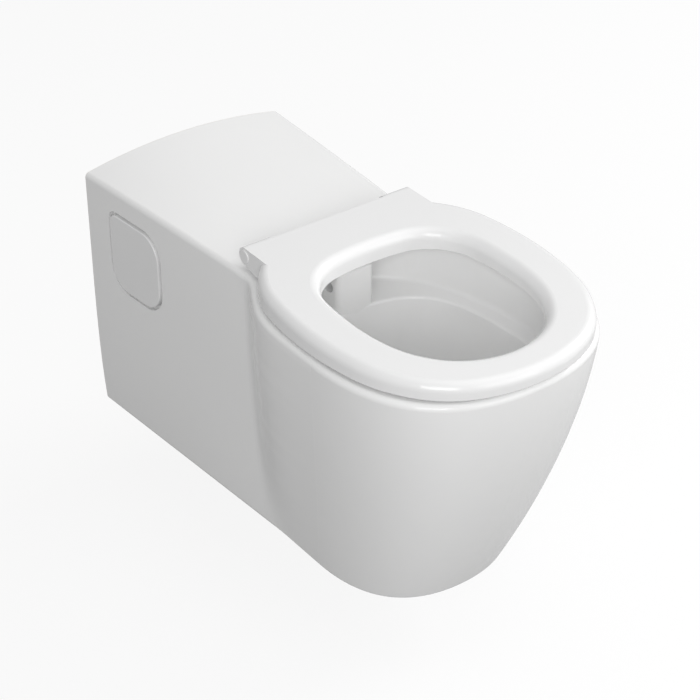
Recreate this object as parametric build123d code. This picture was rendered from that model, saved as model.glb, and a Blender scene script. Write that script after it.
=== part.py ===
from build123d import *
import os
from math import atan2, degrees, hypot, sqrt, tan

# Wall-hung long-projection toilet pan with a ring seat, in millimetres.
# Origin: midway between the two wall studs, on the wall face. The wall is Y = 0, the front is -Y, +Z is up.

# Pan, seen from above
projection = 747.5
rear_width = 315.0
waist_width = 272.0
waist_reach = 300.0
bowl_width = 367.0
bowl_reach = 556.0
nose_fullness = 0.66
flare_pull = 0.47

# Pan at its base, and how fast each size falls away below the rim
nose_undercut = 121.0
rear_draft = 7.5
waist_draft = 8.25
base_waist_reach = 429.0
bowl_undercut = 56.0
base_bowl_reach = 487.5
nose_taper = 1.63
rear_taper = 5.0
waist_taper = 1.3
waist_sweep = 0.55
bowl_taper = 1.43

# Pan heights, measured from the wall studs
rim_height = 86.0
crown_rise = 17.0
crown_length = 305.0
base_drop = 286.0
top_edge_radius = 7.0
base_edge_radius = 9.0

# Ceramic thicknesses
shell_wall = 9.0
deck_wall = 12.0
back_wall = 16.0
bowl_wall = 9.0

# Bowl, rim wall, open flush channel and its ledge
rim_side_width = 49.5
rim_rear = 345.0
rim_middle = 560.0
rim_front_width = 44.5
crease_drop = 36.0
channel_undercut = 3.0
shelf_drop = 66.0
lip_drop = 74.0
lip_side_width = 13.0
lip_rear = 398.0
lip_middle = 575.0
lip_front_width = 11.0
lip_rear_fullness = 0.75
oval_fullness = 0.56
sump_half = 36.0
sump_rear = 442.0
sump_middle = 482.0
sump_front = 522.0
bowl_side_curve = 1.6
bowl_front_curve = 2.0
rim_lip_radius = 6.0
channel_radius = 7.0
ledge_radius = 4.0
sump_radius = 20.0

# Flush distributor at the back of the bowl
block_half = 28.0
block_face = 397.4
block_bulge = 1.4
block_top_drop = 14.0
block_corner = 9.0
block_splay = 8.0
outlet_jet_radius = 8.0
outlet_jet_drop = 38.0
outlet_jet_setback = 18.0
flush_way_radius = 19.0

# Standard connections: stud spacing, inlet above the studs, outlet below them
stud_spacing = 180.0
inlet_rise = 35.0
outlet_drop = 100.0
stud_radius = 6.0
stud_clearance = 0.5
seal_wall = 5.0
inlet_depth = 60.0
flush_pipe_radius = 22.5
flush_pipe_clearance = 0.1
spigot_radius = 51.0
spigot_wall = 8.0
spigot_length = 110.0
spigot_setback = 3.0
spigot_opening_gap = 18.0
trap_radius = 31.0
trap_depth = 213.0
trap_dip_reach = 430.0
trap_weir_reach = 345.0
trap_bend = 70.0
spigot_taper_length = 45.0

# Service windows and their covers, one on each side
cap_length = 108.0
cap_height = 112.0
cap_corner = 34.0
cap_small_corner = 15.0
cap_reach = 108.0
cap_rise = -5.0
cap_gap = 4.5
cap_proud = 2.0
cap_skin = 3.0
cap_edge_radius = 1.6
recess_depth = 7.0
recess_frame = 18.0
window_border = 14.0
leg_width = 14.0
leg_thickness = 2.4
leg_gap = 0.4
leg_spread = 11.0
cap_gasket_thickness = 1.5
cap_gasket_width = 5.0

# Seat
seat_gap = 4.0
seat_nose_overhang = 0.5
seat_side_inset = 5.3
seat_widest_reach = 532.0
seat_front_thickness = 22.0
seat_hinge_thickness = 30.0
seat_edge_radius = 12.0
seat_hole_radius = 13.0
seat_under_edge = 1.5
seat_side_width = 62.2
hole_middle = 548.0
seat_front_width = 51.0
hole_rear = 423.0
hole_rear_fullness = 0.78
seat_shoulder_reach = 335.0
seat_shoulder_fullness = 0.706
seat_nose_fullness = 0.654
hole_front_fullness = 0.62
rear_edge_bevel = 2.0

# Seat hinge
hinge_spacing = 154.0
hinge_reach = 340.0
lug_length = 42.0
lug_radius = 12.0
rear_edge_setback = 8.5
knuckle_width = 20.0
knuckle_skin = 1.8
knuckle_side_gap = 0.5
knuckle_top_gap = 0.4
web_depth = 8.0
pin_radius = 4.0
pin_running_gap = 0.05
pin_seat_gap = 0.1
pin_inboard = 26.0
bush_wall = 1.5
pin_cap_inset = 3.0
pin_cap_proud = 1.5
pin_cap_plug = 5.0
hinge_plate_width = 32.0
hinge_plate_thickness = 4.0
hinge_gasket_thickness = 1.5
screw_head_gap = 1.5
screw_radius = 4.0
screw_head_edge = 2.5
screw_head_height = 3.5
screw_clearance = 0.25
screw_socket_radius = 2.9
screw_socket_depth = 2.2
screw_tip = 2.0
sleeve_wall = 2.5
sleeve_gap = 0.25
sleeve_bulge = 2.0
sleeve_bulge_length = 18.0
cone_nut_length = 10.0
cone_nut_wall = 3.0
seat_pocket_height = 8.0
seat_pocket_gap = 2.0

# Seat buffers
buffer_length = 24.0
buffer_width = 13.0
buffer_gap = 0.3
buffer_stem_radius = 2.5
buffer_stem_length = 7.0
buffer_inset = 13.0
buffer_side_reach = 500.0
buffer_front_inset = 44.0
buffer_front_setback = 4.0

# Wall fixing kit and inlet seal
stud_bush_wall = 3.3
bush_fit_gap = 0.2
bush_flange_width = 7.0
bush_flange_thickness = 3.0
washer_width = 9.0
washer_thickness = 2.5
nut_wall = 3.5
nut_height = 10.0
seal_fit_gap = 0.2
seal_length = 35.0
seal_setback = 1.0
seal_flange_width = 5.5
seal_flange_thickness = 3.0

base_projection = projection - nose_undercut
base_rear_width = rear_width - 2 * rear_draft
base_waist_width = waist_width - 2 * waist_draft
base_bowl_width = bowl_width - 2 * bowl_undercut
rim_half = bowl_width / 2 - rim_side_width
rim_front = projection - rim_front_width
lip_half = rim_half - lip_side_width
lip_front = rim_front - lip_front_width
seat_projection = projection + seat_nose_overhang
seat_width = bowl_width - 2 * seat_side_inset
hole_width = seat_width - 2 * seat_side_width
hole_front = seat_projection - seat_front_width
buffer_side_half = rim_half + rim_lip_radius + buffer_inset
buffer_front_half = rim_half - buffer_front_inset
buffer_front_reach = rim_front - buffer_front_setback
seat_plane = rim_height + seat_gap
hinge_height = seat_plane + seat_hinge_thickness - lug_radius
pan_top = rim_height + crown_rise + 4.0
stud_hole = stud_radius + stud_clearance
stud_hole_radius = stud_hole + stud_bush_wall + bush_fit_gap
bush_flange_radius = stud_hole_radius + bush_flange_width
washer_radius = stud_radius + washer_width
nut_across_flats = 2 * (stud_radius + nut_wall)
inlet_radius = flush_pipe_radius + seal_wall
seal_flange_radius = inlet_radius + seal_flange_width
screw_hole = screw_radius + screw_clearance
deck_hole_radius = screw_hole + sleeve_wall + sleeve_gap
sleeve_bulge_radius = deck_hole_radius + sleeve_bulge
cone_nut_radius = screw_radius + cone_nut_wall
screw_head_radius = screw_radius + screw_head_edge
screw_reach = hinge_reach + web_depth / 2 + screw_head_radius + screw_head_gap
knuckle_radius = lug_radius - knuckle_skin - knuckle_top_gap
pin_cap_radius = lug_radius - pin_cap_inset
lug_half = hinge_spacing / 2 + knuckle_width / 2 + lug_length
plate_top = rim_height + hinge_gasket_thickness + hinge_plate_thickness
plate_rear = hinge_reach - hinge_plate_width / 2
plate_front = screw_reach + hinge_plate_width / 2
deck_under = rim_height - deck_wall
cap_thickness = recess_depth - cap_gasket_thickness + cap_proud
pin_outer = lug_half - pin_cap_plug - 1.0
pin_inner = hinge_spacing / 2 - knuckle_width / 2 - pin_inboard
sides = {"left": -1, "right": 1}


def between(top, base, power, share):
    """A size at this share of the way from the top value to the base value."""
    return top + (base - top) * share**power


def quarter(half, middle, end, fullness):
    """A quarter of an oval, from its widest point to its end on the centre line, as one smooth curve."""
    pull = fullness * (end - middle)
    return [Bezier((half, middle), (half, middle + pull), (fullness * half, end), (0, end))]


def two_arcs(start, start_way, stop, stop_way):
    """Two tangent arcs that leave one point and reach another in given directions."""
    span = stop - start
    along = span.dot(start_way + stop_way)
    turn = 2 - 2 * start_way.dot(stop_way)
    reach = (sqrt(along**2 + turn * span.dot(span)) - along) / turn
    meeting = (start + start_way * reach + stop - stop_way * reach) / 2
    return [TangentArc(start, meeting, tangent=start_way), TangentArc(stop, meeting, tangent=-stop_way)]


def arc_quarter(half, middle, end, fullness):
    """The same quarter of an oval in tangent arcs, for walls that stand square to a flat face."""
    length = end - middle
    joint = Vector(0, middle) + Vector(half, length) * (4 + 3 * fullness) / 8
    along_side = Vector(0, length).normalized()
    slant = Vector(-half, length).normalized()
    side_arcs = two_arcs(Vector(half, middle), along_side, joint, slant)
    return side_arcs + two_arcs(joint, slant, Vector(0, end), Vector(-1, 0))


def closed(half_outline):
    """The face inside a half outline and its mirror image."""
    other_half = [edge.mirror(Plane.YZ) for edge in half_outline]
    return Face(Wire(half_outline + other_half))


def oval(half, rear, middle, front, rear_fullness=oval_fullness, front_fullness=oval_fullness, grow=0.0,
         make_quarter=quarter):
    """An oval seen from above, widest at the middle reach."""
    front_part = make_quarter(half + grow, -middle, -front - grow, front_fullness)
    rear_part = make_quarter(half + grow, -middle, -rear + grow, rear_fullness)
    return closed(front_part + rear_part)


def rod(x, y, z, radius, length, direction):
    """A cylinder that starts at a point and runs along a direction."""
    place = Plane((x, y, z), z_dir=direction)
    return place * Cylinder(radius, length, align=(Align.CENTER, Align.CENTER, Align.MIN))


def block(x_range, y_range, z_range):
    """A box between two limits on each axis."""
    corner = Pos(min(x_range), min(y_range), min(z_range))
    spans = [max(limits) - min(limits) for limits in (x_range, y_range, z_range)]
    return corner * Box(*spans, align=(Align.MIN, Align.MIN, Align.MIN))


def prism(face, z, height):
    """A face seen from above, raised from one height by another."""
    return Pos(0, 0, z) * extrude(face, height, dir=(0, 0, 1))


def edges_at(solid, height, half, rear, front):
    """The edges of a solid at a height, inside a rectangle seen from above."""
    return solid.edges().filter_by(
        lambda e: abs(e.center().Z - height) < 0.05 and abs(e.center().X) < half
        and -front < e.center().Y < -rear)


def pan_share(z):
    """How far down the pan a height is, from 0 at the top to 1 at the base."""
    return (pan_top - z) / (pan_top + base_drop)


def side_line(share):
    """Half the width at the wall, half the width at the waist, and the waist's place."""
    rear = between(rear_width, base_rear_width, rear_taper, share) / 2
    waist = between(waist_width, base_waist_width, waist_taper, share) / 2
    waist_y = -between(waist_reach, base_waist_reach, waist_sweep, share)
    return rear, waist, waist_y


def pan_outline(share, inset, wall_y):
    """The pan's outline seen from above: flat side, waist, flare into the bowl, and nose."""
    rear, waist, waist_y = side_line(share)
    rear = rear - inset
    waist = waist - inset
    bowl = between(bowl_width, base_bowl_width, bowl_taper, share) / 2 - inset
    bowl_y = -between(bowl_reach, base_bowl_reach, bowl_taper, share)
    front_y = -between(projection, base_projection, nose_taper, share) + inset
    pull = flare_pull * (waist_y - bowl_y)
    run = pull / hypot(rear - waist, waist_y - wall_y)
    flare_start = (waist + (waist - rear) * run, waist_y + (waist_y - wall_y) * run)
    back = Line((0, wall_y), (rear, wall_y))
    side = Line((rear, wall_y), (waist, waist_y))
    flare = Bezier((waist, waist_y), flare_start, (bowl, bowl_y + pull), (bowl, bowl_y))
    nose = quarter(bowl, bowl_y, front_y, nose_fullness)
    return closed([back, side, flare] + nose)


def pan_form(inset, wall_y, bottom, ruled):
    """The pan's outer form, or the same form set in by a wall thickness and drawn plainer."""
    sections = []
    for level in [0.0, 0.5, 1.0] if ruled else [0.0, 0.25, 0.5, 0.75, 1.0]:
        z = pan_top + (bottom - pan_top) * level
        sections.append(Pos(0, 0, z) * pan_outline(pan_share(z), inset, wall_y))
    return loft(sections, ruled=ruled)


def above_deck(lower):
    """All that lies above the arched deck and the level rim, moved down by a thickness."""
    span = rear_width
    level = rim_height - lower
    arch_radius = ((rear_width / 2) ** 2 + crown_rise**2) / (2 * crown_rise)
    foot = crown_rise - arch_radius + (arch_radius**2 - span**2) ** 0.5
    arch = ThreePointArc((-span, foot), (0, crown_rise), (span, foot))
    arch_frame = Polyline((span, foot), (span, span), (-span, span), (-span, foot))
    flat = Line((-span, 0), (span, 0))
    flat_frame = Polyline((span, 0), (span, span), (-span, span), (-span, 0))
    rear_section = Plane.XZ * Pos(0, level) * make_face([arch, arch_frame])
    front_section = Plane.XZ.offset(crown_length) * Pos(0, level) * make_face([flat, flat_frame])
    deck = loft([rear_section, front_section], ruled=True)
    return deck + block((-span, span), (-crown_length, -2 * projection), (level, level + span))


def bowl_loft(grow, ruled):
    """The bowl from the ledge lip down to the sump, or the same form grown by a wall thickness."""
    top = rim_height - lip_drop
    bottom = -trap_depth - trap_radius - grow
    sections = []
    for share in [0.0, 0.25, 0.5, 0.75, 1.0]:
        half = between(lip_half, sump_half, bowl_side_curve, share)
        rear = between(lip_rear, sump_rear, 1.0, share)
        middle = between(lip_middle, sump_middle, 1.0, share)
        front = between(lip_front, sump_front, bowl_front_curve, share)
        fullness = between(lip_rear_fullness, oval_fullness, 1.0, share)
        section = oval(half, rear, middle, front, rear_fullness=fullness, grow=grow,
                       make_quarter=arc_quarter if ruled else quarter)
        sections.append(Pos(0, 0, between(top, bottom, 1.0, share)) * section)
    body = loft(sections, ruled=ruled)
    return body if ruled else fillet(body.edges().group_by(Axis.Z)[0], sump_radius)


def rim_oval(grow, make_quarter=quarter):
    return oval(rim_half, rim_rear, rim_middle, rim_front, grow=grow, make_quarter=make_quarter)


def rim_mouth():
    """The space inside the upper rim wall, opening out over the rounded edge of the rim."""
    crease = rim_height - crease_drop
    wide = prism(rim_oval(2 * rim_lip_radius, arc_quarter), crease, crease_drop)
    ring = wide - prism(rim_oval(0, arc_quarter), crease, crease_drop)
    top_face = ring.faces().sort_by(Axis.Z)[-1]
    ring = fillet(top_face.inner_wires()[0].edges(), rim_lip_radius)
    return wide - ring


def rim_well():
    """The space inside the rim: rounded mouth, upper wall, undercut channel, sloping shelf and bowl."""
    shelf = rim_height - shelf_drop
    lip = rim_height - lip_drop
    near = (rim_half + 1, rim_rear - 1, rim_front + 1)
    groove = prism(rim_oval(channel_undercut), shelf, shelf_drop - crease_drop)
    lip_oval = oval(lip_half, lip_rear, lip_middle, lip_front, rear_fullness=lip_rear_fullness)
    slope = loft([Pos(0, 0, shelf) * rim_oval(channel_undercut), Pos(0, 0, lip) * lip_oval], ruled=True)
    well = rim_mouth() + groove + slope + bowl_loft(0, False)
    well = fillet(edges_at(well, lip, *near), ledge_radius)
    far = (rim_half + 9, rim_rear - 9, rim_front + 9)
    return fillet(edges_at(well, shelf, *far), channel_radius)


def distributor():
    """The rounded block at the back of the bowl that splits the flush to both sides."""
    root = block_half + block_splay
    root_y = -rim_rear + 2 * bowl_wall
    left = (-block_half, -block_face)
    right = (block_half, -block_face)
    face = ThreePointArc(left, (0, -block_face - block_bulge), right)
    back = Polyline(right, (root, root_y), (-root, root_y), left)
    plan = make_face([face, back])
    plan = fillet(plan.vertices().group_by(Axis.Y)[0], block_corner)
    body = prism(plan, -trap_depth, trap_depth + rim_height - block_top_drop)
    return fillet(body.faces().sort_by(Axis.Z)[-1].edges(), block_corner / 2)


def waterway(radius, outlet_radius, start, smooth):
    """The trap from the sump over the weir, widening to the outlet, with smooth or mitred bends."""
    turns = [(0, -sump_middle, -trap_depth), (0, -trap_dip_reach, -trap_depth),
             (0, -trap_weir_reach, -outlet_drop), (0, -spigot_length, -outlet_drop)]
    path = FilletPolyline(*turns, radius=trap_bend) if smooth else Polyline(*turns)
    trap = sweep(Plane(path @ 0, z_dir=path % 0) * Circle(radius), path, transition=Transition.RIGHT)
    taper_place = Plane((0, -spigot_length, -outlet_drop), z_dir=(0, -1, 0))
    taper = taper_place * Cone(outlet_radius, radius, spigot_taper_length,
                               align=(Align.CENTER, Align.CENTER, Align.MIN))
    outlet = rod(0, -start, -outlet_drop, outlet_radius, spigot_length - start, (0, -1, 0))
    return trap + taper + outlet


def side_plate(trim, depth):
    """A plate with the cover's outline, trimmed all round, built inward from X = 0 on the YZ plane."""
    plate = Rectangle(cap_length - 2 * trim, cap_height - 2 * trim)
    corners = plate.vertices().sort_by(Axis.X)
    rear_top = corners[2:].sort_by(Axis.Y)[-1]
    others = [corner for corner in corners if corner != rear_top]
    plate = fillet(others, cap_corner - trim)
    sharp = plate.vertices().sort_by_distance((cap_length / 2, cap_height / 2))[0]
    plate = fillet(sharp, cap_small_corner - trim / 2)
    return Plane.YZ * extrude(plate, -depth)


def on_side(solid, sign, out):
    """Puts a solid built inward from X = 0 on a side wall, moved outward by a distance."""
    rear, waist, waist_y = side_line(pan_share(cap_rise))
    lean = atan2(rear - waist, -waist_y)
    place = Pos(rear - cap_reach * tan(lean), -cap_reach, cap_rise) * Rot(0, 0, -degrees(lean))
    placed = place * Pos(out, 0, 0) * solid
    return placed if sign > 0 else mirror(placed, Plane.YZ)


def make_pan():
    """The one-piece ceramic casting: hollow shell, bowl, flush way, trap, windows and fixing holes."""
    outer = pan_form(0, 0, -base_drop, False) - above_deck(0)
    top_edges = outer.edges().filter_by(
        lambda e: e.center().Z > rim_height - 1 and e.center().Y < -1 and abs(e.center().X) > 1)
    outer = fillet(top_edges, top_edge_radius)
    base_edges = outer.edges().filter_by(
        lambda e: abs(e.center().Z + base_drop) < 0.1 and e.center().Y < -1)
    outer = fillet(base_edges, base_edge_radius)

    hollow = pan_form(shell_wall, -back_wall, -base_drop + shell_wall, True) - above_deck(deck_wall)
    rim_depth = lip_drop + bowl_wall
    rim_outside = rim_oval(channel_undercut + bowl_wall, arc_quarter)
    rim_shell = prism(rim_outside, rim_height - rim_depth, rim_depth)
    hollow = hollow - (rim_shell + bowl_loft(bowl_wall, True))
    hollow = hollow - waterway(trap_radius + bowl_wall, spigot_radius, spigot_setback, False)
    hollow = hollow - rod(0, 0, inlet_rise, inlet_radius + bowl_wall, inlet_depth + bowl_wall, (0, -1, 0))
    hollow = hollow - rod(0, 0, inlet_rise, flush_way_radius + bowl_wall, block_face, (0, -1, 0))
    for sign in sides.values():
        hollow = hollow - on_side(side_plate(-cap_gap - window_border, recess_frame), sign, 0)

    pan = outer - hollow - (rim_well() - distributor())
    pan = pan - waterway(trap_radius, spigot_radius - spigot_wall, -1, True)
    opening = spigot_radius + spigot_opening_gap
    collar = rod(0, 1, -outlet_drop, opening, back_wall + 1, (0, -1, 0))
    pan = pan - (collar - rod(0, -spigot_setback, -outlet_drop, spigot_radius, back_wall, (0, -1, 0)))

    pan = pan - rod(0, 1, inlet_rise, inlet_radius, inlet_depth + 1, (0, -1, 0))
    seat_of_seal = seal_setback + seal_flange_thickness
    pan = pan - rod(0, 1, inlet_rise, seal_flange_radius + seal_fit_gap, seat_of_seal + 1, (0, -1, 0))
    jet_y = -block_face + outlet_jet_setback
    pan = pan - rod(0, 0, inlet_rise, flush_way_radius, -jet_y, (0, -1, 0))
    root = block_half + 2 * block_splay
    pan = pan - rod(-root, jet_y, rim_height - outlet_jet_drop, outlet_jet_radius, 2 * root, (1, 0, 0))

    for sign in sides.values():
        pan = pan - on_side(side_plate(-cap_gap, recess_depth + 20), sign, 20)
        pan = pan - on_side(side_plate(window_border, recess_frame + 20), sign, 10)
        pan = pan - rod(sign * stud_spacing / 2, 1, 0, stud_hole_radius, back_wall + 2, (0, -1, 0))
        pan = pan - rod(sign * hinge_spacing / 2, -screw_reach, rim_height + 1, deck_hole_radius,
                        deck_wall + 2, (0, 0, -1))
    return pan


def seat_top():
    """The plane of the seat's top, a little higher at the hinge than at the front."""
    slope = (seat_hinge_thickness - seat_front_thickness) / (seat_projection - hinge_reach)
    front = (0, -seat_projection, seat_plane + seat_front_thickness)
    return Plane(front, x_dir=(1, 0, 0), z_dir=(0, -slope, 1))


def make_seat():
    """The seat: a rounded ring, and a hinge strip with a lug at each end and a pocket for each knuckle."""
    outline = oval(seat_width / 2, seat_shoulder_reach, seat_widest_reach, seat_projection,
                   rear_fullness=seat_shoulder_fullness, front_fullness=seat_nose_fullness,
                   make_quarter=arc_quarter)
    hole = oval(hole_width / 2, hole_rear, hole_middle, hole_front,
                rear_fullness=hole_rear_fullness, front_fullness=hole_front_fullness,
                make_quarter=arc_quarter)
    ring = extrude(outline - hole, 2 * seat_hinge_thickness, dir=(0, 0, -1))
    ring = seat_top() * Pos(0, seat_projection) * ring
    top_face = ring.faces().filter_by(GeomType.PLANE).sort_by(Axis.Z)[-1]
    ring = fillet(top_face.outer_wire().edges(), seat_edge_radius)
    top_face = ring.faces().filter_by(GeomType.PLANE).sort_by(Axis.Z)[-1]
    ring = fillet(top_face.inner_wires()[0].edges(), seat_hole_radius)
    ring = split(ring, Plane.XY.offset(seat_plane), keep=Keep.TOP)
    ring = chamfer(ring.faces().sort_by(Axis.Z)[0].edges(), seat_under_edge)

    strip_front = hole_rear - 2 * seat_hole_radius
    slope = (seat_hinge_thickness - seat_front_thickness) / (seat_projection - hinge_reach)
    front_top = seat_plane + seat_hinge_thickness - slope * (strip_front - hinge_reach)
    profile = make_face(Polyline(
        (-hinge_reach, hinge_height + lug_radius), (-strip_front, front_top), (-strip_front, seat_plane),
        (-hinge_reach - 2 * lug_radius, seat_plane), (-hinge_reach, hinge_height - lug_radius), close=True))
    profile = profile + Pos(-hinge_reach, hinge_height) * Circle(lug_radius)
    strip = Plane.YZ * extrude(profile, lug_half, both=True)

    notch_half = knuckle_width / 2 + knuckle_side_gap
    set_back = hinge_spacing / 2 + notch_half
    trim_y = -hinge_reach + lug_radius - rear_edge_setback
    strip = strip - block((-set_back, set_back), (trim_y, 0), (0, 2 * seat_plane))
    rear_edge = strip.edges().filter_by(Axis.X).filter_by(
        lambda e: abs(e.center().Y - trim_y) < 0.01).sort_by(Axis.Z)[-1]
    strip = chamfer(rear_edge, rear_edge_bevel)
    seat = ring - block((-lug_half, lug_half), (-hinge_reach, 0), (0, 2 * seat_plane)) + strip
    for sign in sides.values():
        x = sign * hinge_spacing / 2
        across = (x - notch_half, x + notch_half)
        seat = seat - rod(x - notch_half, -hinge_reach, hinge_height, knuckle_radius + knuckle_top_gap,
                          2 * notch_half, (1, 0, 0))
        seat = seat - block(across, (-hinge_reach - web_depth / 2 - knuckle_side_gap, 0), (0, hinge_height))
        pocket_half = hinge_plate_width / 2 + seat_pocket_gap
        seat = seat - block((x - pocket_half, x + pocket_half), (-plate_front - seat_pocket_gap, 0),
                            (0, seat_plane + seat_pocket_height))
        seat = seat - rod(sign * pin_inner, -hinge_reach, hinge_height, pin_radius + pin_seat_gap,
                          lug_half, (sign, 0, 0))
    for place in buffer_places():
        seat = seat - rod(*place, seat_plane - 1, buffer_stem_radius + pin_seat_gap,
                          buffer_stem_length + 1.5, (0, 0, 1))
    return seat


def buffer_places():
    """Where the four buffers sit, seen from above."""
    corners = [(buffer_side_half, -buffer_side_reach), (buffer_front_half, -buffer_front_reach)]
    return [(sign * x, y) for x, y in corners for sign in sides.values()]


def make_buffer(x, y):
    """An oblong rubber buffer with a stem that plugs into the seat."""
    turn = degrees(atan2(-y - rim_middle, abs(x))) * (1 if x > 0 else -1)
    plan = Pos(x, y) * SlotOverall(buffer_length, buffer_width, rotation=90 - turn)
    pad = prism(plan, rim_height + buffer_gap, seat_gap - buffer_gap)
    return pad + rod(x, y, seat_plane, buffer_stem_radius, buffer_stem_length, (0, 0, 1))


def hinge_plan(x):
    """The oblong base of a hinge post, from behind the knuckle to in front of the screw."""
    length = plate_front - plate_rear
    return Pos(x, -(plate_rear + plate_front) / 2) * SlotOverall(length, hinge_plate_width, rotation=90)


def make_hinge_post(sign):
    """A fixed knuckle on a web that stands on an oblong base plate."""
    x = sign * hinge_spacing / 2
    half = knuckle_width / 2
    plate = prism(hinge_plan(x), rim_height + hinge_gasket_thickness, hinge_plate_thickness)
    knuckle = rod(x - half, -hinge_reach, hinge_height, knuckle_radius, knuckle_width, (1, 0, 0))
    web = block((x - half, x + half), (-hinge_reach - web_depth / 2, -hinge_reach + web_depth / 2),
                (plate_top - 1, hinge_height))
    post = plate + knuckle + web
    bore = pin_radius + pin_running_gap + bush_wall
    post = post - rod(x - half - 1, -hinge_reach, hinge_height, bore, knuckle_width + 2, (1, 0, 0))
    return post - rod(x, -screw_reach, plate_top + 1, screw_hole, hinge_plate_thickness + 2, (0, 0, -1))


def make_hinge_bush(sign):
    """A plain bush, pressed into the knuckle, in which the pin turns."""
    start = sign * hinge_spacing / 2 - knuckle_width / 2
    inner = pin_radius + pin_running_gap
    sleeve = rod(start, -hinge_reach, hinge_height, inner + bush_wall, knuckle_width, (1, 0, 0))
    return sleeve - rod(start - 1, -hinge_reach, hinge_height, inner, knuckle_width + 2, (1, 0, 0))


def make_hinge_pin(sign):
    """A steel pin through the lug and the knuckle into the seat."""
    pin = rod(sign * pin_inner, -hinge_reach, hinge_height, pin_radius, pin_outer - pin_inner, (sign, 0, 0))
    return chamfer(pin.edges().filter_by(GeomType.CIRCLE), 0.6)


def make_pin_cap(sign):
    """A domed cap on the lug's end, plugged into the pin bore."""
    disc = rod(sign * lug_half, -hinge_reach, hinge_height, pin_cap_radius, pin_cap_proud, (sign, 0, 0))
    rim = disc.edges().filter_by(GeomType.CIRCLE).sort_by(lambda e: abs(e.center().X))[-1]
    disc = fillet(rim, pin_cap_proud * 0.8)
    plug_start = sign * (lug_half - pin_cap_plug)
    return disc + rod(plug_start, -hinge_reach, hinge_height, pin_radius, pin_cap_plug, (sign, 0, 0))


def make_hinge_gasket(sign):
    """A soft pad between the base plate and the glaze."""
    x = sign * hinge_spacing / 2
    pad = prism(hinge_plan(x), rim_height, hinge_gasket_thickness)
    return pad - rod(x, -screw_reach, rim_height - 1, screw_hole, hinge_gasket_thickness + 2, (0, 0, 1))


def make_fixing_screw(sign):
    """A low-headed socket screw that holds the hinge post down."""
    x = sign * hinge_spacing / 2
    head = rod(x, -screw_reach, plate_top, screw_head_radius, screw_head_height, (0, 0, 1))
    head = fillet(head.edges().group_by(Axis.Z)[-1], 1)
    length = plate_top - deck_under + sleeve_bulge_length + cone_nut_length + screw_tip
    shank = rod(x, -screw_reach, plate_top, screw_radius, length, (0, 0, -1))
    socket = Pos(x, -screw_reach, plate_top + screw_head_height) * extrude(
        RegularPolygon(screw_socket_radius, 6), -screw_socket_depth)
    return head + shank - socket


def make_expansion_sleeve(sign):
    """A rubber sleeve in the deck hole, swollen against the deck's underside."""
    x = sign * hinge_spacing / 2
    neck = rod(x, -screw_reach, rim_height, deck_hole_radius - sleeve_gap, deck_wall + 1, (0, 0, -1))
    bulge = rod(x, -screw_reach, deck_under, sleeve_bulge_radius, sleeve_bulge_length, (0, 0, -1))
    bulge = fillet(bulge.edges().filter_by(GeomType.CIRCLE).group_by(Axis.Z)[0], 2)
    bore_length = deck_wall + sleeve_bulge_length + 2
    return neck + bulge - rod(x, -screw_reach, rim_height + 1, screw_hole, bore_length, (0, 0, -1))


def make_cone_nut(sign):
    """The nut below the sleeve that draws it up."""
    x = sign * hinge_spacing / 2
    top = deck_under - sleeve_bulge_length
    nut = rod(x, -screw_reach, top, cone_nut_radius, cone_nut_length, (0, 0, -1))
    nut = chamfer(nut.edges().filter_by(GeomType.CIRCLE).group_by(Axis.Z)[0], 2)
    return nut - rod(x, -screw_reach, top + 1, screw_hole, cone_nut_length + 2, (0, 0, -1))


def make_access_cap(sign):
    """A push-in cover: a shallow tray with four gripping legs behind it."""
    plate = side_plate(0, cap_thickness)
    plate = fillet(plate.faces().sort_by(Axis.X)[-1].edges(), cap_edge_radius)
    tray = plate - Pos(-cap_skin, 0, 0) * side_plate(cap_gasket_width, cap_thickness)
    leg_z = cap_height / 2 - window_border - leg_gap - leg_thickness / 2
    leg_end = -recess_frame - cap_proud
    for y in (-leg_spread, leg_spread):
        for z in (-leg_z, leg_z):
            tray = tray + block((leg_end, -cap_skin), (y - leg_width / 2, y + leg_width / 2),
                                (z - leg_thickness / 2, z + leg_thickness / 2))
    return on_side(tray, sign, cap_proud)


def make_cap_gasket(sign):
    """A soft ring between the cover and the floor of its recess."""
    ring = side_plate(0, cap_gasket_thickness)
    ring = ring - Pos(1, 0, 0) * side_plate(cap_gasket_width, cap_gasket_thickness + 2)
    return on_side(ring, sign, -recess_depth + cap_gasket_thickness)


def make_stud_bush(sign):
    """A flanged plastic bush that keeps the wall stud off the ceramic."""
    x = sign * stud_spacing / 2
    sleeve = rod(x, 0, 0, stud_hole_radius - bush_fit_gap, back_wall, (0, -1, 0))
    flange = rod(x, -back_wall, 0, bush_flange_radius, bush_flange_thickness, (0, -1, 0))
    return sleeve + flange - rod(x, 1, 0, stud_hole, back_wall + bush_flange_thickness + 2, (0, -1, 0))


def make_stud_washer(sign):
    x = sign * stud_spacing / 2
    face = -back_wall - bush_flange_thickness
    washer = rod(x, face, 0, washer_radius, washer_thickness, (0, -1, 0))
    return washer - rod(x, face + 1, 0, stud_hole, washer_thickness + 2, (0, -1, 0))


def make_stud_nut(sign):
    """A hexagon nut for the wall stud, with its outer corners turned down."""
    x = sign * stud_spacing / 2
    face = -back_wall - bush_flange_thickness - washer_thickness
    place = Plane((x, face, 0), z_dir=(0, -1, 0))
    nut = place * extrude(RegularPolygon(nut_across_flats / 2, 6, major_radius=False), nut_height)
    turned = place * Cone(nut_across_flats / 2 * 1.5, nut_across_flats / 2 * 0.95, nut_height * 1.6,
                          align=(Align.CENTER, Align.CENTER, Align.MIN))
    nut = nut & turned
    return nut - rod(x, face + 1, 0, stud_hole, nut_height + 2, (0, -1, 0))


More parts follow.
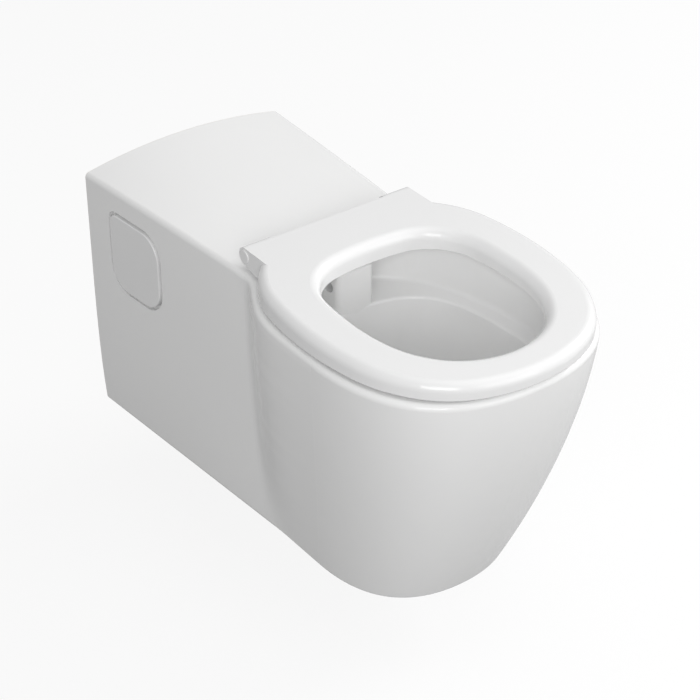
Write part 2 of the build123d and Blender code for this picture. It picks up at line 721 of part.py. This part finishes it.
def make_inlet_seal():
    """A flanged rubber seal for the flush pipe."""
    start = -seal_setback
    flange = rod(0, start, inlet_rise, seal_flange_radius, seal_flange_thickness, (0, -1, 0))
    sleeve = rod(0, start, inlet_rise, inlet_radius - seal_fit_gap, seal_length, (0, -1, 0))
    bore = flush_pipe_radius + flush_pipe_clearance
    return flange + sleeve - rod(0, 1, inlet_rise, bore, seal_length + 4, (0, -1, 0))


pieces = {"pan": make_pan(), "seat_ring": make_seat(), "inlet_seal": make_inlet_seal()}
pieces["seat_buffers"] = Compound([make_buffer(x, y) for x, y in buffer_places()])
paired = {
    "hinge_post": make_hinge_post, "hinge_bush": make_hinge_bush, "hinge_pin": make_hinge_pin,
    "pin_cap": make_pin_cap, "hinge_gasket": make_hinge_gasket, "fixing_screw": make_fixing_screw,
    "expansion_sleeve": make_expansion_sleeve, "cone_nut": make_cone_nut, "access_cap": make_access_cap,
    "cap_gasket": make_cap_gasket, "stud_bush": make_stud_bush, "stud_washer": make_stud_washer,
    "stud_nut": make_stud_nut,
}
for name, make in paired.items():
    for side, sign in sides.items():
        pieces[side + "_" + name] = make(sign)

os.makedirs("parts", exist_ok=True)
for name, piece in pieces.items():
    export_step(piece, "parts/" + name + ".step")
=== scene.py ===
from math import cos, pi, radians, sin

import bmesh
import bpy
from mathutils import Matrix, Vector
from mathutils.bvhtree import BVHTree


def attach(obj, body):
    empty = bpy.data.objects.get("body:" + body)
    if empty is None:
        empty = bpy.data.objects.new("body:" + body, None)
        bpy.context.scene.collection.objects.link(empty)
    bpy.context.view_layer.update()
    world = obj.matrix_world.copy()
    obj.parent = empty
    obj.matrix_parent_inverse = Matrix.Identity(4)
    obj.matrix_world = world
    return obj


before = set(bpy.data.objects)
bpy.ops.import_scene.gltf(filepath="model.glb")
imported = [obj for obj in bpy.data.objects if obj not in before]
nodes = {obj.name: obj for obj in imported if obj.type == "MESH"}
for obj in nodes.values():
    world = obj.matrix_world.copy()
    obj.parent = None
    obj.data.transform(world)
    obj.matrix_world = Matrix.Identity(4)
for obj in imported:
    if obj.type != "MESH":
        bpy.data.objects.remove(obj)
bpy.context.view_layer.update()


# Pan: one slip-cast piece of vitreous china, hollow-walled, with a thick white glaze fired on.
# The glaze is glassy and a little uneven, as it pools and thins over the casting.
# The flat back, which stands against the wall, is left unglazed and shows the bare clay.
def blank_material(name):
    """A material that holds a Principled shader, its object coordinates and nothing else."""
    material = bpy.data.materials.new(name)
    material.use_nodes = True
    tree = material.node_tree
    shader = tree.nodes["Principled BSDF"]
    place = tree.nodes.new("ShaderNodeTexCoord")
    return material, tree, shader, place.outputs["Object"]


def make_unevenness():
    """Slow waves and cloudiness of a moulded or glazed surface: a cloud mask and a waved normal."""
    group = bpy.data.node_groups.new("surface_unevenness", "ShaderNodeTree")
    face = group.interface
    face.new_socket("Place", in_out="INPUT", socket_type="NodeSocketVector")
    for name, usual in (("Wave size", 20), ("Wave height", 0.1), ("Cloud size", 6)):
        face.new_socket(name, in_out="INPUT", socket_type="NodeSocketFloat").default_value = usual
    face.new_socket("Cloud", in_out="OUTPUT", socket_type="NodeSocketFloat")
    face.new_socket("Normal", in_out="OUTPUT", socket_type="NodeSocketVector")
    entry = group.nodes.new("NodeGroupInput")
    leave = group.nodes.new("NodeGroupOutput")
    waves = group.nodes.new("ShaderNodeTexNoise")
    waves.inputs["Detail"].default_value = 1
    clouds = group.nodes.new("ShaderNodeTexNoise")
    clouds.inputs["Detail"].default_value = 3
    bump = group.nodes.new("ShaderNodeBump")
    bump.inputs["Distance"].default_value = 0.001
    group.links.new(entry.outputs["Place"], waves.inputs["Vector"])
    group.links.new(entry.outputs["Wave size"], waves.inputs["Scale"])
    group.links.new(entry.outputs["Place"], clouds.inputs["Vector"])
    group.links.new(entry.outputs["Cloud size"], clouds.inputs["Scale"])
    group.links.new(waves.outputs["Fac"], bump.inputs["Height"])
    group.links.new(entry.outputs["Wave height"], bump.inputs["Strength"])
    group.links.new(clouds.outputs["Fac"], leave.inputs["Cloud"])
    group.links.new(bump.outputs["Normal"], leave.inputs["Normal"])
    return group


unevenness = make_unevenness()


def cloudy_finish(name, light, dark, smooth, rough, wave_size, wave_height, cloud_size):
    """A finish whose colour and gloss drift between two values over the surface."""
    material, tree, shader, place = blank_material(name)
    uneven = tree.nodes.new("ShaderNodeGroup")
    uneven.node_tree = unevenness
    uneven.inputs["Wave size"].default_value = wave_size
    uneven.inputs["Wave height"].default_value = wave_height
    uneven.inputs["Cloud size"].default_value = cloud_size
    tint = tree.nodes.new("ShaderNodeMix")
    tint.data_type = "RGBA"
    tint.inputs["A"].default_value = (*light, 1)
    tint.inputs["B"].default_value = (*dark, 1)
    gloss = tree.nodes.new("ShaderNodeMapRange")
    gloss.inputs["To Min"].default_value = smooth
    gloss.inputs["To Max"].default_value = rough
    tree.links.new(place, uneven.inputs["Place"])
    tree.links.new(uneven.outputs["Cloud"], tint.inputs["Factor"])
    tree.links.new(uneven.outputs["Cloud"], gloss.inputs["Value"])
    tree.links.new(tint.outputs["Result"], shader.inputs["Base Color"])
    tree.links.new(gloss.outputs["Result"], shader.inputs["Roughness"])
    tree.links.new(uneven.outputs["Normal"], shader.inputs["Normal"])
    return material, shader


def wear(name, material):
    """Gives a CAD node its finish."""
    mesh = nodes[name].data
    mesh.materials.clear()
    mesh.materials.append(material)


glaze, glaze_shader = cloudy_finish(
    "white_glaze", light=(0.92, 0.92, 0.917), dark=(0.90, 0.90, 0.897), smooth=0.08, rough=0.16,
    wave_size=14, wave_height=0.06, cloud_size=5)
glaze_shader.inputs["IOR"].default_value = 1.42

glaze_end = -0.0008
clay_start = -0.0004
clay_colour = (0.74, 0.71, 0.66, 1)
clay_roughness = 0.85
glaze_tree = glaze.node_tree
glaze_place = glaze_tree.nodes.new("ShaderNodeTexCoord")
glaze_axes = glaze_tree.nodes.new("ShaderNodeSeparateXYZ")
bare_back = glaze_tree.nodes.new("ShaderNodeMapRange")
bare_back.inputs["From Min"].default_value = glaze_end
bare_back.inputs["From Max"].default_value = clay_start
bare_clay = glaze_tree.nodes.new("ShaderNodeMix")
bare_clay.data_type = "RGBA"
bare_clay.inputs["B"].default_value = clay_colour
bare_grip = glaze_tree.nodes.new("ShaderNodeMix")
bare_grip.inputs["B"].default_value = clay_roughness
glaze_tree.links.new(glaze_place.outputs["Object"], glaze_axes.inputs["Vector"])
glaze_tree.links.new(glaze_axes.outputs["Y"], bare_back.inputs["Value"])
for mix, socket in ((bare_clay, "Base Color"), (bare_grip, "Roughness")):
    glazed = glaze_shader.inputs[socket].links[0].from_socket
    glaze_tree.links.new(bare_back.outputs["Result"], mix.inputs["Factor"])
    glaze_tree.links.new(glazed, mix.inputs["A"])
    glaze_tree.links.new(mix.outputs["Result"], glaze_shader.inputs[socket])
wear("pan", glaze)

# Waist of the pan: the soft hollow on each flank, where the casting runs from the rear block
# out to the bowl. It is the same china and meets the flank without a step, so it is a skin laid
# on the flank. Each level sweeps out quickly behind the bowl, then runs along it under the seat.
base_level = -0.286
rim_level = 0.086
rim_round = 0.007
wall_top = rim_level - rim_round
foot_heights = [0.0002, 0.0006, 0.0012, 0.002, 0.003, 0.0042, 0.0056, 0.0075]
wall_rows = 34
round_rows = 5
flange_rows = 2
waist_columns = 64
rear_end = -0.346
fore_end = -0.552
rear_reach = 0.04
fore_reach = 0.012
sweep_power = 2.6
skin = 0.00005
skin_wall = 0.0008
sunk = -0.0005
border = 0.006
tuck = 0.034
tuck_edge = 0.004
pan_surface = BVHTree.FromObject(nodes["pan"], bpy.context.evaluated_depsgraph_get())


def flank(along, level):
    """Half width of the casting at a place on its flank."""
    hit = pan_surface.ray_cast(Vector((-0.3, along, level)), Vector((1, 0, 0)))[0]
    return -hit.x


def waist_level(level):
    """One level's sweep from the rear block to the bowl: half widths and places along the pan."""
    drop = (wall_top - level) / (wall_top - base_level)
    rear = rear_end - 0.03 * drop ** 2
    fore = fore_end + 0.022 * drop + 0.043 * drop ** 2
    rear_width, fore_width = flank(rear, level), flank(fore, level)
    rear_slope = (flank(rear + rear_reach, level) - rear_width) / rear_reach
    fore_rise = flank(fore + fore_reach, level) - flank(fore - fore_reach, level)
    fore_slope = fore_rise / (2 * fore_reach)
    sweep = [(flank(rear + border, level) + sunk, rear + border)]
    for column in range(waist_columns - 1):
        share = column / (waist_columns - 2)
        along = rear + (fore - rear) * share
        gain = 1 - (1 - share) ** sweep_power
        gain = gain * gain * (3 - 2 * gain)
        width = ((rear_width + rear_slope * (along - rear)) * (1 - gain)
                 + (fore_width + fore_slope * (along - fore)) * gain)
        sweep.append((width + skin, along))
    sweep.append((flank(fore - border, level) + sunk, fore - border))
    return sweep


# Rows from under the base, up the flank, round the rim and in under the seat; the borders are sunk.
wall_heights = foot_heights + [(wall_top - base_level) * row / wall_rows for row in range(1, wall_rows + 1)]
waist_rows = []
for height in wall_heights:
    sweep = waist_level(base_level + height)
    if not waist_rows:
        waist_rows.append([(-width + tuck, along, base_level - sunk) for width, along in sweep])
    waist_rows.append([(-width, along, base_level + height) for width, along in sweep])
for row in range(1, round_rows + 1):
    turn = row / round_rows * pi / 2
    inward = rim_round * (1 - cos(turn))
    level = rim_level + skin - rim_round * (1 - sin(turn))
    waist_rows.append([(-width + inward, along, level) for width, along in sweep])
waist_rows.append([(-width + tuck - tuck_edge, along, rim_level + skin) for width, along in sweep])
waist_rows.append([(-width + tuck, along, rim_level + sunk) for width, along in sweep])
for row in waist_rows[-round_rows - flange_rows:]:
    for end in (0, -1):
        across, along, level = row[end]
        row[end] = (across, along, level + sunk)

last_row = len(waist_rows) - 1
sheet = bmesh.new()
bmesh.ops.create_grid(sheet, x_segments=waist_columns, y_segments=last_row, size=1)
for corner in sheet.verts:
    column = round((corner.co.x + 1) / 2 * waist_columns)
    row = round((corner.co.y + 1) / 2 * last_row)
    corner.co = waist_rows[row][column]
whole = sheet.verts[:] + sheet.edges[:] + sheet.faces[:]
bmesh.ops.mirror(sheet, geom=whole, merge_dist=-1, axis="X")
sheet.normal_update()
for half in (-1, 1):
    faces = [face for face in sheet.faces if face.calc_center_median().x * half > 0]
    if sum(face.normal.x for face in faces) * half < 0:
        bmesh.ops.reverse_faces(sheet, faces=faces)


def finished_piece(name, shape, material, body):
    """A piece from its bmesh, smooth but for its sharp edges, in its finish and on its body."""
    mesh = bpy.data.meshes.new(name)
    shape.to_mesh(mesh)
    shape.free()
    mesh.shade_smooth()
    mesh.set_sharp_from_angle(angle=radians(40))
    mesh.materials.append(material)
    piece = bpy.data.objects.new(name, mesh)
    bpy.context.scene.collection.objects.link(piece)
    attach(piece, body)
    return piece


waist = finished_piece("pan_waist", sheet, glaze, "pan_body")
wall = waist.modifiers.new("wall", "SOLIDIFY")
wall.thickness = skin_wall
wall.offset = -1

# Wall fixing kit: on each stud a moulded bush, a steel washer and a hexagon nut, inside the pan.
# They are reached through the side windows, so they show only with a cover off.
bush_plastic, _ = cloudy_finish(
    "moulded_bush", light=(0.72, 0.71, 0.67), dark=(0.66, 0.65, 0.61), smooth=0.45, rough=0.6,
    wave_size=400, wave_height=0.2, cloud_size=60)
nut_steel, nut_shader = cloudy_finish(
    "plated_steel", light=(0.62, 0.62, 0.63), dark=(0.5, 0.5, 0.52), smooth=0.25, rough=0.4,
    wave_size=900, wave_height=0.15, cloud_size=150)
nut_shader.inputs["Metallic"].default_value = 1
for side in ("left", "right"):
    wear(side + "_stud_bush", bush_plastic)
    wear(side + "_stud_washer", nut_steel)
    wear(side + "_stud_nut", nut_steel)

# Flush pipe seal: a flanged ring moulded in black rubber.
# It is pushed into the inlet at the back and grips the flush pipe.
seal_rubber, _ = cloudy_finish(
    "black_rubber", light=(0.03, 0.03, 0.03), dark=(0.018, 0.018, 0.018), smooth=0.55, rough=0.75,
    wave_size=700, wave_height=0.25, cloud_size=80)
wear("inlet_seal", seal_rubber)

# Seat hinges: a fixed steel knuckle on an oblong foot, screwed through the deck.
# A rubber sleeve swells under the deck as the screw draws a brass nut up.
hinge_steel, hinge_shader = cloudy_finish(
    "satin_steel", light=(0.66, 0.66, 0.67), dark=(0.56, 0.56, 0.57), smooth=0.22, rough=0.34,
    wave_size=1200, wave_height=0.1, cloud_size=200)
hinge_shader.inputs["Metallic"].default_value = 1
nut_brass, brass_shader = cloudy_finish(
    "turned_brass", light=(0.72, 0.55, 0.28), dark=(0.6, 0.44, 0.2), smooth=0.25, rough=0.4,
    wave_size=900, wave_height=0.12, cloud_size=150)
brass_shader.inputs["Metallic"].default_value = 1
pale_rubber, _ = cloudy_finish(
    "pale_rubber", light=(0.62, 0.62, 0.61), dark=(0.55, 0.55, 0.54), smooth=0.5, rough=0.7,
    wave_size=600, wave_height=0.2, cloud_size=70)
for side in ("left", "right"):
    wear(side + "_hinge_post", hinge_steel)
    wear(side + "_hinge_pin", hinge_steel)
    wear(side + "_hinge_bush", bush_plastic)
    wear(side + "_hinge_gasket", pale_rubber)
    wear(side + "_fixing_screw", nut_steel)
    wear(side + "_expansion_sleeve", seal_rubber)
    wear(side + "_cone_nut", nut_brass)

# Seat: a ring pressed from white thermoset plastic and polished, turning on the hinge pins.
# Four rubber buffers are pressed into its underside, and a cap closes each lug end.
seat_plastic, _ = cloudy_finish(
    "polished_seat", light=(0.88, 0.88, 0.88), dark=(0.865, 0.865, 0.865), smooth=0.12, rough=0.2,
    wave_size=18, wave_height=0.04, cloud_size=7)
wear("seat_ring", seat_plastic)
wear("seat_buffers", pale_rubber)
for side in ("left", "right"):
    wear(side + "_pin_cap", seat_plastic)

# Side covers: moulded plates of white plastic, pushed into the windows over the wall fixings.
# Each sits on a soft ring of rubber, made dark grey as painted shade so that it shows as a thin dark shadow
# line round its edge.
cover_plastic, _ = cloudy_finish(
    "cover_plastic", light=(0.87, 0.87, 0.87), dark=(0.84, 0.84, 0.84), smooth=0.14, rough=0.22,
    wave_size=30, wave_height=0.04, cloud_size=9)
# Painted shade: the gasket rubber is dark grey so that the gap round each cover reads as a shadow line.
painted_shade_rubber, _ = cloudy_finish(
    "painted_shade_rubber", light=(0.2, 0.2, 0.2), dark=(0.15, 0.15, 0.15), smooth=0.55, rough=0.75,
    wave_size=600, wave_height=0.2, cloud_size=70)
for side in ("left", "right"):
    wear(side + "_access_cap", cover_plastic)
    wear(side + "_cap_gasket", painted_shade_rubber)

# Studio: a wide pale floor below the pan, a white surround and large soft lamps.
# The camera sees it white, reflections see it as grey, and the floor keeps a soft shadow.
# Light that the floor throws back on the pan is held down, as on a raised stand.
floor_level = -0.4
floor_size = 30
floor_glow = 0.84
mirror_share = 0.25
ambient_strength = 0.43
bpy.ops.mesh.primitive_plane_add(size=floor_size, location=(0, 0, floor_level))
floor = bpy.context.object
floor.name = "studio_floor"
floor_paint, floor_tree, floor_shader, _ = blank_material("floor_paint")
floor_shader.inputs["Roughness"].default_value = 0.9


def seen_rays(tree):
    """1 for rays from the camera, a share for reflections and glass, and 0 for the rest."""
    path = tree.nodes.new("ShaderNodeLightPath")
    mirrored = tree.nodes.new("ShaderNodeMath")
    mirrored.operation = "MAXIMUM"
    dimmed = tree.nodes.new("ShaderNodeMath")
    dimmed.operation = "MULTIPLY"
    dimmed.inputs[1].default_value = mirror_share
    any_ray = tree.nodes.new("ShaderNodeMath")
    any_ray.operation = "MAXIMUM"
    tree.links.new(path.outputs["Is Glossy Ray"], mirrored.inputs[0])
    tree.links.new(path.outputs["Is Transmission Ray"], mirrored.inputs[1])
    tree.links.new(mirrored.outputs["Value"], dimmed.inputs[0])
    tree.links.new(dimmed.outputs["Value"], any_ray.inputs[0])
    tree.links.new(path.outputs["Is Camera Ray"], any_ray.inputs[1])
    return any_ray.outputs["Value"]


floor_seen = seen_rays(floor_tree)
floor_tone = floor_tree.nodes.new("ShaderNodeMix")
floor_tone.data_type = "RGBA"
floor_tone.inputs["A"].default_value = (0.3, 0.3, 0.3, 1)
floor_tone.inputs["B"].default_value = (0.92, 0.92, 0.92, 1)
glow = floor_tree.nodes.new("ShaderNodeEmission")
blend = floor_tree.nodes.new("ShaderNodeMixShader")
share = floor_tree.nodes.new("ShaderNodeMath")
share.operation = "MULTIPLY"
share.inputs[1].default_value = floor_glow
floor_surface = floor_tree.nodes["Material Output"].inputs["Surface"]
floor_tree.links.new(floor_seen, floor_tone.inputs["Factor"])
floor_tree.links.new(floor_tone.outputs["Result"], floor_shader.inputs["Base Color"])
floor_tree.links.new(floor_seen, share.inputs[0])
floor_tree.links.new(share.outputs["Value"], blend.inputs["Fac"])
floor_tree.links.new(floor_shader.outputs["BSDF"], blend.inputs[1])
floor_tree.links.new(glow.outputs["Emission"], blend.inputs[2])
floor_tree.links.new(blend.outputs["Shader"], floor_surface)
floor.data.materials.append(floor_paint)

world = bpy.data.worlds.new("white_studio")
world.use_nodes = True
bpy.context.scene.world = world
sky = world.node_tree
ambient = sky.nodes["Background"]
ambient.inputs["Color"].default_value = (1, 1, 1, 1)
ambient.inputs["Strength"].default_value = ambient_strength
backdrop = sky.nodes.new("ShaderNodeBackground")
backdrop.inputs["Color"].default_value = (1, 1, 1, 1)
backdrop.inputs["Strength"].default_value = 1
sky_blend = sky.nodes.new("ShaderNodeMixShader")
sky.links.new(seen_rays(sky), sky_blend.inputs["Fac"])
sky.links.new(ambient.outputs["Background"], sky_blend.inputs[1])
sky.links.new(backdrop.outputs["Background"], sky_blend.inputs[2])
sky.links.new(sky_blend.outputs["Shader"], sky.nodes["World Output"].inputs["Surface"])


def soft_lamp(name, place, target, width, height, watts):
    """A rectangular lamp that points at a spot."""
    lamp = bpy.data.lights.new(name, "AREA")
    lamp.shape = "RECTANGLE"
    lamp.size = width
    lamp.size_y = height
    lamp.energy = watts
    holder = bpy.data.objects.new(name, lamp)
    holder.location = place
    aim = Vector(target) - Vector(place)
    holder.rotation_euler = aim.to_track_quat("-Z", "Y").to_euler()
    bpy.context.scene.collection.objects.link(holder)


middle = (0, -0.4, 0)
soft_lamp("overhead", (0.2, -0.6, 2.6), middle, 2.4, 2.4, 8)
soft_lamp("right", (3.2, -1.0, 1.7), middle, 2.2, 2.2, 78)
soft_lamp("left_front", (-2.1, -2.9, 1.6), middle, 1.8, 1.8, 47)
soft_lamp("front", (0.5, -2.7, 0.9), middle, 1.6, 1.6, 11)

# Camera at the photograph's viewpoint: a long lens, above and to the left of the front.
# It was fitted to the photograph's edges, and the slides move its picture without turning it.
view_azimuth = radians(-36.78)
view_elevation = radians(33.32)
view_distance = 2.51486
target = Vector((0, -0.375, 0.09))
slide_right = 0.00552
slide_up = -0.12705
sensor_width = 36
focal_pixels = 2000
picture_pixels = 700
right = Vector((cos(view_azimuth), sin(view_azimuth), 0))
up = Vector((-sin(view_elevation) * sin(view_azimuth),
             sin(view_elevation) * cos(view_azimuth),
             cos(view_elevation)))
lens = bpy.data.cameras.new("photo_view")
lens.sensor_width = sensor_width
lens.lens = sensor_width * focal_pixels / picture_pixels
camera = bpy.data.objects.new("photo_view", lens)
camera.location = (target + right * slide_right + up * slide_up
                   + right.cross(up) * view_distance)
camera.rotation_euler = (pi / 2 - view_elevation, 0, view_azimuth)
bpy.context.scene.collection.objects.link(camera)
bpy.context.scene.camera = camera

bpy.context.scene.view_settings.view_transform = "Standard"
